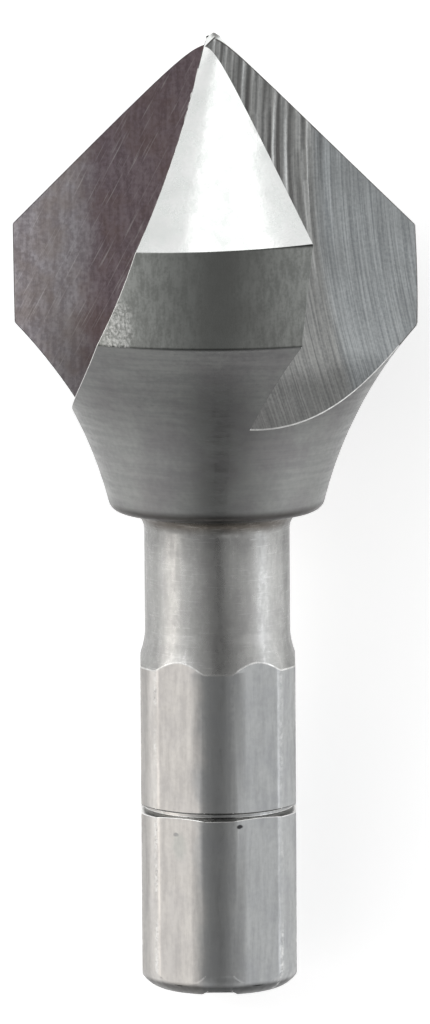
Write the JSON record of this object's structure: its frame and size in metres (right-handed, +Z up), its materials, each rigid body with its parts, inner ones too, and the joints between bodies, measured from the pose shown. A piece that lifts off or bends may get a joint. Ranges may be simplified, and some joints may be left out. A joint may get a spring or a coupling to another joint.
{
  "type": "countersink bit",
  "caption": "Three-flute ninety-degree countersink bit with a short round neck and a grooved quarter-inch hexagonal shank.",
  "frame": {"origin": "middle of the footprint on the surface that the bit lies on", "axes": "+Z up from that surface, +Y from the shank's end towards the point, +X to the right seen from behind the shank with the point ahead"},
  "size_m": [0.0164, 0.0394, 0.0158],
  "materials": {
    "tool_steel": "ground cone and lands, satin shank"
  },
  "bodies": {
    "root": {"countersink_bit": "tool_steel"}
  },
  "joints": []
}
